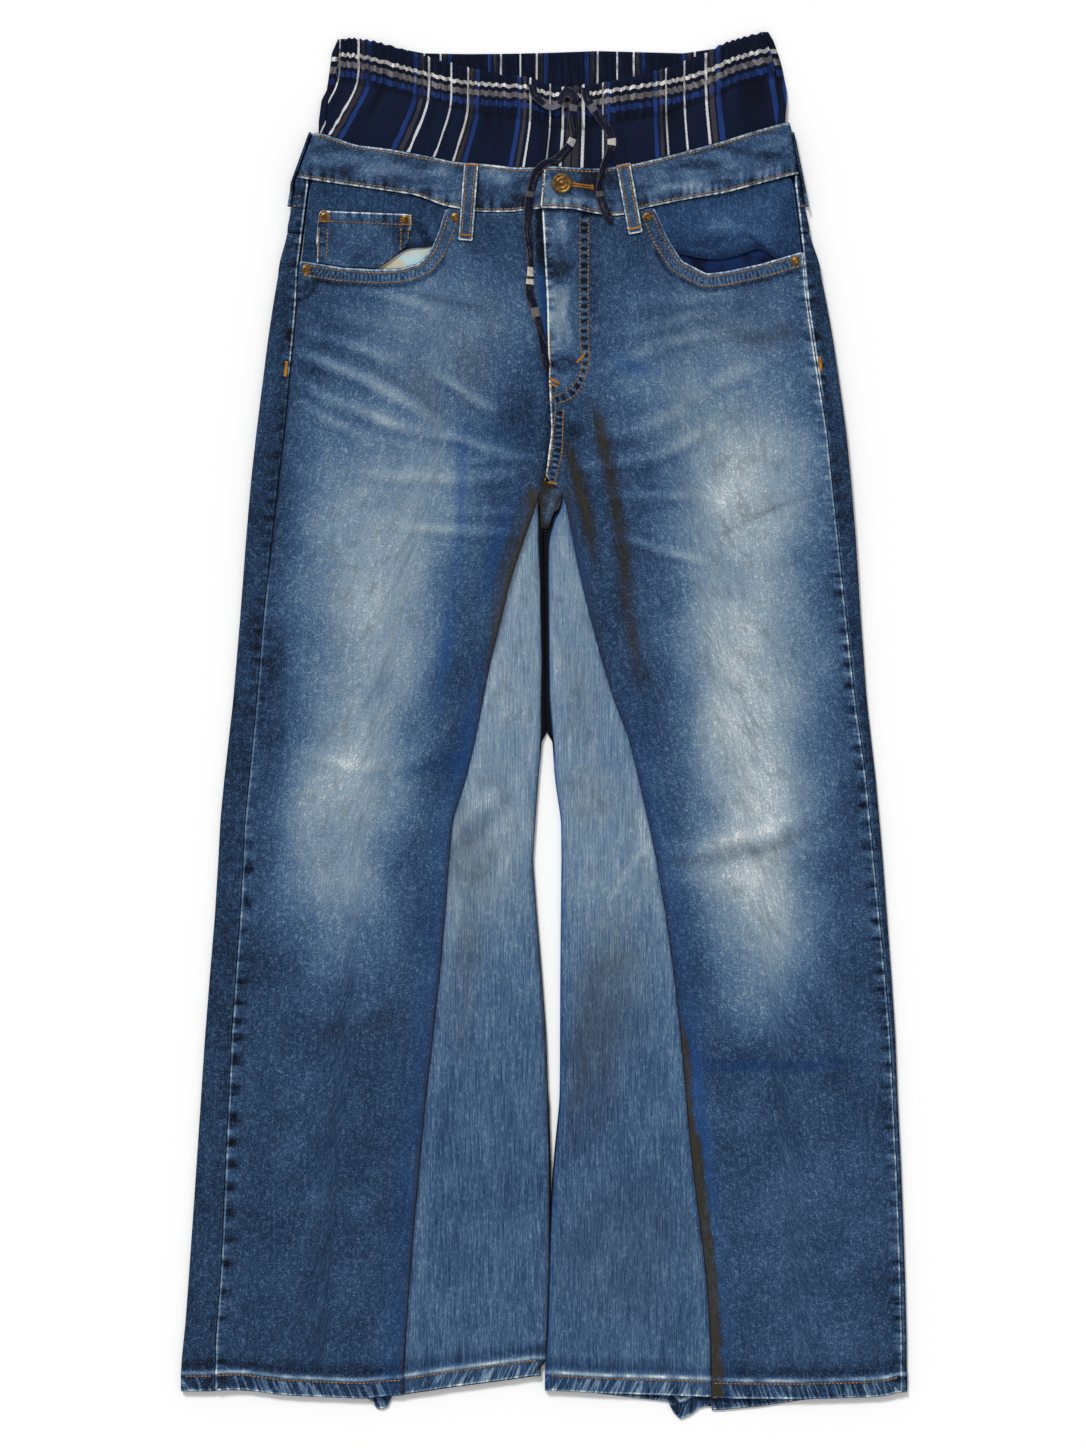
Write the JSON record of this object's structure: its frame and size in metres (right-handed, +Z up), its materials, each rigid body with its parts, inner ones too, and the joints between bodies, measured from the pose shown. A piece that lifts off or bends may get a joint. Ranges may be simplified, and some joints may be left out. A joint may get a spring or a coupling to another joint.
{
  "type": "baggy jeans",
  "caption": "Wide-leg denim trousers laid flat, with inner-leg godets, belt-looped waistband, front pockets and a plaid drawstring waist sewn inside.",
  "frame": {"origin": "middle of the garment's outline, on the surface that it lies on", "axes": "+X to the right of someone who looks down at the front (the wearer's left), +Y towards the waist, +Z up out of the surface"},
  "size_m": [0.6101, 1.1605, 0.0149],
  "materials": {
    "denim": "washed indigo denim, faded to pale blue-grey on the thighs",
    "denim_faded": "paler slubby denim",
    "denim_dark": "dark unworn denim",
    "pocketing": "pale plain-weave cotton",
    "navy_cloth": "navy plain-weave cotton",
    "plaid": "navy woven cotton with blue, grey and white plaid",
    "thread": "tan topstitching thread",
    "brass": "worn antique brass"
  },
  "bodies": {
    "root": {"front_right": "denim", "front_left": "denim", "back_right": "denim", "back_left": "denim", "yoke_right": "denim", "yoke_left": "denim", "godet_right": "denim_faded", "godet_left": "denim_faded", "crotch_gusset": "denim_faded", "waistband": "denim", "pocket_facing_right": "denim_dark", "pocket_facing_left": "denim_dark", "pocket_bag_right": "pocketing", "pocket_bag_left": "navy_cloth", "coin_pocket": "denim", "back_pocket_right": "denim", "back_pocket_left": "denim", "loop_front_right": "denim", "loop_front_left": "denim", "loop_side_right": "denim", "loop_side_left": "denim", "loop_back": "denim", "plaid_front": "plaid", "plaid_back": "plaid", "drawstring_right": "plaid", "drawstring_left": "plaid", "button": "brass", "rivet_right_inner": "brass", "rivet_right_outer": "brass", "rivet_left_inner": "brass", "rivet_left_outer": "brass", "rivet_coin_inner": "brass", "rivet_coin_outer": "brass"}
  },
  "joints": []
}
